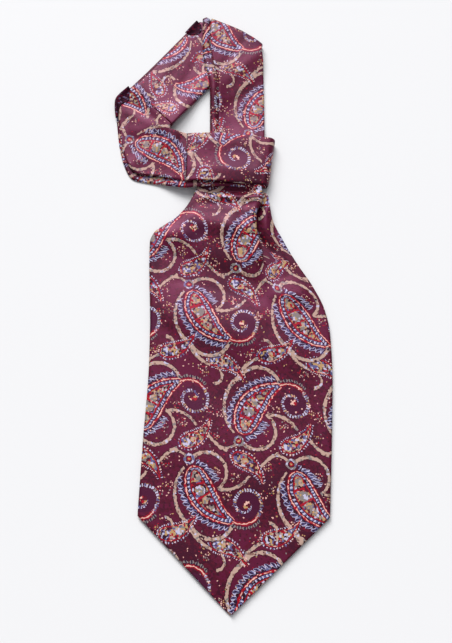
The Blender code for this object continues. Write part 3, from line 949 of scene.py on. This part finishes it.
def wrap_base(x, y):
    """Underside of the turn and the wrap: from the table at the left up on to the knot."""
    return WRAP_BASE * smooth(-62.0, -22.0, x)


def diagonal_base(x, y):
    """Underside of the diagonal: on the table, and up to the turn at its lower end."""
    end = DIAGONAL_SECTIONS[-1]
    from_end = side_of_line(x, y, (end.open_x, end.open_y), (end.fold_x, end.fold_y))
    return wrap_base(x, y) * (1 - smooth(0.0, 38.0, from_end))


def strip(name, sections, base, material, roll=None, **look_of):
    """A stretch of the band, and at its end a roll of (height, turn, side)."""
    mirror = (sections[0].fold_x, sections[0].fold_y), (sections[-1].fold_x, sections[-1].fold_y)
    made = [strip_ring(section, base, mirror, **look_of) for section in sections]
    if roll:
        height, turn, side = roll
        last = sections[-1]
        dx, dy = last.fold_x - last.open_x, last.fold_y - last.open_y
        length = math.hypot(dx, dy)
        outward = (-dy / length * side, dx / length * side)
        level = base((last.open_x + last.fold_x) / 2, (last.open_y + last.fold_y) / 2)
        for i in range(1, 15):
            made.append(strip_ring(last, lambda x, y: level, mirror, turn * i / 14, height, outward, **look_of))
    return shell(name, [ring for ring, row in made], [row for ring, row in made], material)


def rise_swell(x, y):
    """Height of the rise's bare lower ply over its foot."""
    return 2.2 * smooth(136.0, 150.0, y) * (1 - 0.7 * smooth(196.0, 212.0, y) * (1 - smooth(222.0, 234.0, y)))


RISE_CREASES = [
    Crease(4, 176, 34, 202, 4.5, 0.5),
    Crease(-2, 206, 22, 236, 3.5, -0.6),
    Crease(14, 205, 36, 224, 4.5, 0.5),
    Crease(30, 130, 34, 180, 4.0, 0.3),
    Crease(8, 150, 14, 118, 6.0, -0.5),
    Crease(12, 192, 8, 160, 8.0, -0.7),
    Crease(34, 236, 12, 252, 7.0, 0.7),
]
DIAGONAL_CREASES = [
    Crease(-34, 228, -60, 190, 4.0, 0.5),
    Crease(-18, 222, -36, 190, 4.0, -0.5),
    Crease(-12, 205, -30, 178, 3.5, 0.5),
    Crease(4, 207, -34, 166, 9.0, 1.5),
    Crease(-79, 192, -42, 150, 7.0, 2.6),
]
TURN_CREASES = [
    Crease(-44, 144, -86, 168, 5.0, 0.8),
    Crease(-46, 140, -86, 140, 5.0, -0.7),
    Crease(-44, 136, -80, 112, 5.5, 0.8),
    Crease(-79, 192, -42, 150, 7.0, 2.6),
    Crease(-72, 150, -36, 136, 14.0, 2.2),
    Crease(-33, 142, -34, 94, 7.0, -2.2),
    Crease(-84, 176, -80, 130, 5.0, -0.6),
]
WRAP_CREASES = [
    Crease(-20, 134, 34, 132, 4.5, 0.35),
    Crease(-22, 108, 38, 104, 4.5, 0.4),
    Crease(-10, 120, 30, 122, 6.0, -0.3),
    Crease(30, 98, 42, 134, 4.0, 0.4),
    Crease(-20, 103, 34, 102, 13.0, 1.3),
]


def knot_back(material):
    """The layers behind the knot, hidden."""
    rings, places = [], []
    for i in range(17):
        share = i / 16
        y = mix(102.3, 136.0, share)
        across = [mix(-14.0, mix(38.4, 43.45, share), k / 12) for k in range(13)]
        rim = 0.5 if i in (0, 16) else 0.0
        over_side = [(a, y, 1.98 - (0.5 if k in (0, 12) else rim)) for k, a in enumerate(across)]
        under_side = [(a, y, 0.02 + (0.5 if k in (0, 12) else rim)) for k, a in enumerate(across)]
        rings.append(over_side + under_side[::-1])
        row = [(a, y) for a in across]
        places.append(row + row[::-1])
    return shell("knot_back_silk", rings, places, material)


def painted_shade_flap(name, edge, widths, under, material):
    """A thin flap over a corner of the strip, from round its outer edge on to its top, that carries painted shade for
    the shadowed hollow there.

    The edge is a line of (x, y) places with the strip on its right, the widths are how far the
    corner reaches over the strip at each place, and under is the height of the strip's top.
    """
    line = even_between([(x, y, width) for (x, y), width in zip(edge, widths)], 5)
    rings, places = [], []
    for i, (x, y, width) in enumerate(line):
        before, after = line[max(0, i - 1)], line[min(len(line) - 1, i + 1)]
        dx, dy = after[0] - before[0], after[1] - before[1]
        length = math.hypot(dx, dy)
        inward = (dy / length, -dx / length)
        middle = []
        for k in range(6):
            angle = math.radians(mix(-40.0, 80.0, k / 5))
            middle.append((0.5 - 1.3 * math.cos(angle), 1.3 + 1.3 * math.sin(angle)))
        for k in range(1, 13):
            share = k / 12
            hollow = 0.7 * math.sin(math.pi * share)
            middle.append((mix(0.6, width, share), mix(2.6, 1.1, share**0.7) - hollow * min(1.0, width / 8)))
        over_side, under_side = wall_sides(middle, 0.6)
        ring = []
        for inner, height in over_side + under_side[::-1]:
            px, py = x + inward[0] * inner, y + inward[1] * inner
            ring.append((px, py, under(px, py) + height))
        rings.append(ring)
        places.append([(x + inward[0] * a, y + inward[1] * a) for a in arc_lengths(middle)])
        places[-1] += places[-1][::-1]
    return shell(name, rings, places, material)


def repeat(colour, flat, place, tone, second, gap):
    """The regular cloth: rows of motifs, and rows of mirrored ones between them."""
    colour = motif(colour, place, tone, second, gap, 3.7)
    x, y = split(place)
    mirrored = vector(x - SECOND_X, y * -1.0 + SECOND_Y)
    return motif(colour, mirrored, tone, second, gap, 10.5)


# On the diagonal a fold hides some cloth, so its motifs are laid one by one, in the table's millimetres
DIAGONAL_VINES = [
    Vine((-72.7, 183.5), (-63.6, 182.8), (-55.7, 176.8), 2.4, 1.8),
    Vine((-22.9, 212.3), (-20.3, 206.9), (-12.4, 203.6), 1.6, 2.4),
    Vine((-13.1, 215.2), (-14.9, 209.4), (-12.7, 203.6), 1.8, 2.0),
    Vine((-21.6, 244.7), (-16.6, 238.7), (-14.1, 225.5), 1.6, 1.8),
    Vine((-49.4, 192.5), (-46.7, 201.4), (-40.4, 198.2), 1.4, 2.2),
    Vine((-59.1, 205.4), (-53.5, 206.9), (-47.2, 209.8), 1.6, 1.2),
]
TURN_VINES = [
    Vine((-61.7, 170.4), (-63.2, 165.1), (-63.3, 158.1), 1.8, 2.2),
    Vine((-54.6, 151.0), (-54.2, 157.4), (-49.9, 161.2), 1.4, 2.0),
    Vine((-86.0, 150.0), (-82.2, 157.6), (-75.4, 162.0), 2.6, 1.8),
    Vine((-75.7, 163.0), (-75.2, 172.0), (-78.0, 182.0), 1.6, 1.2),
]
DIAGONAL_CLUSTERS = [(-44.3, 195.8), (-50.5, 157.0), (-18.2, 210.2), (-35.6, 211.7), (-21.9, 236.5)]


def crease_paisley(colour, place, tone, second):
    """The large paisley that lies across the crease between the diagonal and the turn."""
    return large_paisley(colour, moved(place, -78.4, 151.4, math.radians(-83.0)), tone, second)


def diagonal_motifs(colour, flat, place, tone, second, gap):
    clusters = [vector_node("DISTANCE", place, (x, y, 0)) for x, y in DIAGONAL_CLUSTERS]
    colour = flecks(colour, lowest(clusters), tone, second, gap)
    upper = moved(place, -80.6, 249.0, math.radians(140.5))
    lower = moved(place, -40.3, 209.7, math.radians(147.0))
    depths = [vine(place, *v) for v in DIAGONAL_VINES + TURN_VINES[:1]]
    depths += [vine(upper, *VINES[0]), vine(lower, *VINES[1])]
    colour = strokes(colour, highest(depths), tone)
    colour = knob(colour, upper, second)
    for local in (upper, lower):
        colour = large_paisley(colour, local, tone, second)
    colour = crease_paisley(colour, place, tone, second)
    colour = small_paisley(colour, place, tone, second, (-53.0, 185.7), (-57.0, 195.0), (-61.1, 205.4), 23.5)
    colour = small_paisley(colour, place, tone, second, (-41.4, 167.2), (-50.2, 169.7), (-59.0, 171.8), 20.0)
    return small_paisley(colour, place, tone, second, (-11.3, 220.3), (-17.0, 221.8), (-24.5, 216.0), 16.0)


def turn_motifs(colour, flat, place, tone, second, gap):
    """The regular cloth, but for the motifs that come over the crease from the diagonal."""
    woven = node("Group")
    woven.node_tree = bpy.data.node_groups["woven_paisley"]
    plug(woven.inputs[0], moved(flat, -46.8, 93.0, math.radians(-92.0)))
    colour = over(Num(woven.outputs[0]), spot(place, -76.5, 169.0, 10.5), colour)
    colour = strokes(colour, highest([vine(place, *v) for v in TURN_VINES]), tone)
    return crease_paisley(colour, place, tone, second)


def cloth_group(name, motifs):
    """A woven cloth as one group: a place on it in millimetres, in; its colour, out."""
    tree = bpy.data.node_groups.new(name, "ShaderNodeTree")
    tree.interface.new_socket(name="Place", in_out="INPUT", socket_type="NodeSocketVector")
    tree.interface.new_socket(name="Color", in_out="OUTPUT", socket_type="NodeSocketColor")
    TREE.append(tree)
    flat = Num(tree.nodes.new("NodeGroupInput").outputs[0])
    wander = node("TexNoise", noise_dimensions="2D")
    plug(wander.inputs["Vector"], flat)
    wander.inputs["Scale"].default_value = 0.42
    wander.inputs["Detail"].default_value = 1.0
    drift = vector_node("MULTIPLY_ADD", Num(wander.outputs["Color"]), (1.7, 1.7, 0), (-0.85, -0.85, 0))
    place = vector_node("ADD", flat, drift)
    patches = node("TexNoise", noise_dimensions="2D")
    plug(patches.inputs["Vector"], place)
    patches.inputs["Scale"].default_value = 0.02
    patches.inputs["Detail"].default_value = 1.0
    tone, second, gap = speckle(place)
    shade = math_node("MULTIPLY_ADD", tone, 0.4, Num(patches.outputs[0]) - 0.2)
    ground = ramp(shade, [(0.3, SHADE), (0.46, WINE), (0.62, PLUM)], smooth=True)
    plug(tree.nodes.new("NodeGroupOutput").inputs[0], motifs(ground, flat, place, tone, second, gap))
    TREE.pop()
    return tree


def silk(name, group, x, y, turn):
    """Silk satin whose pattern has its spiral's centre at (x, y) of the cloth and is turned by turn degrees."""
    material = bpy.data.materials.new(name)
    material.use_nodes = True
    TREE.append(material.node_tree)
    shader = material.node_tree.nodes["Principled BSDF"]
    cloth = node("UVMap", uv_map="cloth")
    place = vector_node("MULTIPLY", Num(cloth.outputs[0]), (1000, 1000, 0))
    seen = moved(place, x, y, math.radians(turn))
    pattern = node("Group")
    pattern.node_tree = group
    plug(pattern.inputs[0], seen)
    plug(shader.inputs["Base Color"], Num(pattern.outputs[0]))
    threads = node("TexNoise", noise_dimensions="2D")
    plug(threads.inputs["Vector"], vector_node("MULTIPLY", seen, (0.35, 2.6, 0)))
    threads.inputs["Scale"].default_value = 1.0
    threads.inputs["Detail"].default_value = 2.0
    rough = node("MapRange")
    plug(rough.inputs["Value"], Num(threads.outputs[0]))
    rough.inputs["To Min"].default_value = 0.36
    rough.inputs["To Max"].default_value = 0.52
    plug(shader.inputs["Roughness"], Num(rough.outputs[0]))
    bump = node("Bump")
    bump.inputs["Strength"].default_value = 0.25
    bump.inputs["Distance"].default_value = 0.0002
    plug(bump.inputs["Height"], Num(threads.outputs[0]))
    plug(shader.inputs["Normal"], Num(bump.outputs[0]))
    shader.inputs["Sheen Weight"].default_value = 0.12
    shader.inputs["Sheen Roughness"].default_value = 0.35
    shader.inputs["Sheen Tint"].default_value = (0.95, 0.35, 0.6, 1.0)
    shader.inputs["Specular IOR Level"].default_value = 0.45
    shader.inputs["Specular Tint"].default_value = (1.0, 0.34, 0.62, 1.0)
    TREE.pop()
    return material


def painted_shade_silk():
    """Painted shade: dark silk with flecks of coloured thread, put where the cloth lies in shadow."""
    material = bpy.data.materials.new("silk_painted_shade")
    material.use_nodes = True
    TREE.append(material.node_tree)
    shader = material.node_tree.nodes["Principled BSDF"]
    cloth = node("UVMap", uv_map="cloth")
    place = vector_node("MULTIPLY", Num(cloth.outputs[0]), (900, 1500, 0))
    tone, second, gap = speckle(place)
    # Painted shade: a dark plum ground with a few red and lilac threads, standing for shadowed hollows.
    painted_shade_colours = ramp(
        tone,
        [(0.0, look(30, 6, 18)), (0.4, look(46, 9, 26)), (0.66, look(86, 12, 30)), (0.8, look(58, 12, 38)),
         (0.92, look(96, 84, 112)), (1.0, look(96, 84, 112))],
    )
    plug(shader.inputs["Base Color"], painted_shade_colours)
    shader.inputs["Roughness"].default_value = 0.65
    shader.inputs["Specular IOR Level"].default_value = 0.15
    shader.inputs["Specular Tint"].default_value = (1.0, 0.34, 0.62, 1.0)
    TREE.pop()
    return material


def dress():
    """All the visible pieces of the cravat."""
    group = cloth_group("woven_paisley", repeat)
    blade = front_blade(silk("front_paisley", group, -34.2, 166.3, -1.0))
    rear = rear_blade(silk("rear_paisley", group, 6.0, 140.0, 0.0))
    rise = strip("rise_silk_cloth", between_rows(RISE_SECTIONS, 76), rise_base,
                 silk("rise_paisley", group, 70.2, 177.2, 0.0),
                 roll=(FOLD_ROLL_HEIGHT, math.radians(165), 1), creases=RISE_CREASES, swell=rise_swell)
    diagonal = strip("diagonal_silk_cloth", between_rows(DIAGONAL_SECTIONS, 44), diagonal_base,
                     silk("diagonal_paisley", cloth_group("diagonal_woven", diagonal_motifs), 0.0, 0.0, 0.0),
                     creases=DIAGONAL_CREASES)
    turn = strip("turn_silk_cloth", between_rows(TURN_SECTIONS, 80), wrap_base,
                 silk("turn_paisley", cloth_group("turn_woven", turn_motifs), 0.0, 0.0, 0.0), creases=TURN_CREASES)
    wrap = strip("wrap_silk_cloth", between_rows(WRAP_SECTIONS, 40), wrap_base,
                 silk("wrap_paisley", group, 101.2, 151.0, -95.0),
                 roll=(WRAP_ROLL_HEIGHT, math.pi, -1), creases=WRAP_CREASES)
    knot = knot_back(silk("knot_paisley", group, 0.0, 0.0, 30.0))
    # back is painted shade: a dark silk for the two corner flaps, standing for the shadow at the band's top corner and
    # at the turn's outer corner.
    back = painted_shade_silk()
    top_corner = painted_shade_flap(
        "top_corner_painted_shade", [(-30.6, 247.0), (-27.2, 251.3), (-23.8, 255.5), (-20.6, 259.2)], [1.5, 9.0, 9.5, 5.0],
        lambda x, y: 1.75, back,
    )
    side_corner = painted_shade_flap(
        "side_corner_painted_shade", [(-90.8, 160.0), (-92.0, 170.0), (-91.6, 178.6), (-87.0, 184.8), (-81.0, 189.8)],
        [1.0, 3.5, 8.5, 9.5, 2.0],
        lambda x, y: 1.75 + max(0.0, crease_height(TURN_CREASES, x, y)), back,
    )
    pairs = [(blade, "front_blade", "front_silk"), (rear, "rear_blade", "rear_silk"),
             (rise, "neckband_rise", "rise_silk"), (diagonal, "neckband_diagonal", "diagonal_silk"),
             (turn, "neckband_turn", "turn_silk"), (wrap, "neckband_wrap", "wrap_silk"),
             (knot, "knot_back", "knot_silk")]
    for piece, solid, slot in pairs:
        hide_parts(solid)
        area = sum(face.area for face in piece.data.polygons) / 2
        print("area", piece.name, round(area, 5), "tris", 2 * len(piece.data.polygons))
    for corner in (top_corner, side_corner):
        area = sum(face.area for face in corner.data.polygons) / 2
        print("area", corner.name, round(area, 6), "tris", 2 * len(corner.data.polygons))


def camera():
    """The photo's view: from above, leaning towards the blade's tip."""
    lens = bpy.data.cameras.new("camera")
    lens.lens = 54.31
    lens.sensor_width = 36.0
    lens.clip_start = 0.01
    eye = bpy.data.objects.new("camera", lens)
    eye.location = (0.00618, -0.27719, 0.7637)
    eye.rotation_euler = (math.radians(18.0), 0.0, 0.0)
    bpy.context.scene.collection.objects.link(eye)
    bpy.context.scene.camera = eye


def lamp(name, bearing, height, spread, power, colour):
    """A far soft light: its compass bearing and its height above the table, in degrees."""
    light = bpy.data.lights.new(name, "SUN")
    light.angle = math.radians(spread)
    light.energy = power
    light.color = colour
    thing = bpy.data.objects.new(name, light)
    thing.rotation_euler = (math.radians(90 - height), 0.0, math.radians(180 - bearing))
    bpy.context.scene.collection.objects.link(thing)


def studio():
    """A white table under a large soft light from the upper left."""
    floor_material = bpy.data.materials.new("white_table")
    floor_material.use_nodes = True
    TREE.append(floor_material.node_tree)
    shader = floor_material.node_tree.nodes["Principled BSDF"]
    cloudy = node("TexNoise")
    cloudy.inputs["Scale"].default_value = 3.0
    tint = ramp(Num(cloudy.outputs[0]), [(0.3, (0.80, 0.80, 0.81, 1)), (0.7, (0.83, 0.83, 0.83, 1))], smooth=True)
    plug(shader.inputs["Base Color"], tint)
    shader.inputs["Roughness"].default_value = 0.7
    TREE.pop()
    mesh = bpy.data.meshes.new("table")
    mesh.from_pydata([(-6, -6, 0), (6, -6, 0), (6, 6, 0), (-6, 6, 0)], [], [(0, 1, 2, 3)])
    mesh.materials.append(floor_material)
    table = bpy.data.objects.new("table", mesh)
    table.location.z = -0.0002
    bpy.context.scene.collection.objects.link(table)
    lamp("key", -19.0, 32.0, 30.0, 2.9, (1.0, 0.995, 0.99))
    lamp("back", 0.0, 54.0, 34.0, 1.2, (1.0, 1.0, 1.0))
    world = bpy.data.worlds.new("studio")
    world.use_nodes = True
    world.node_tree.nodes["Background"].inputs[0].default_value = (0.95, 0.96, 1.0, 1.0)
    world.node_tree.nodes["Background"].inputs[1].default_value = 0.36
    bpy.context.scene.world = world
    bpy.context.scene.view_settings.view_transform = "Standard"


camera()
studio()
dress()
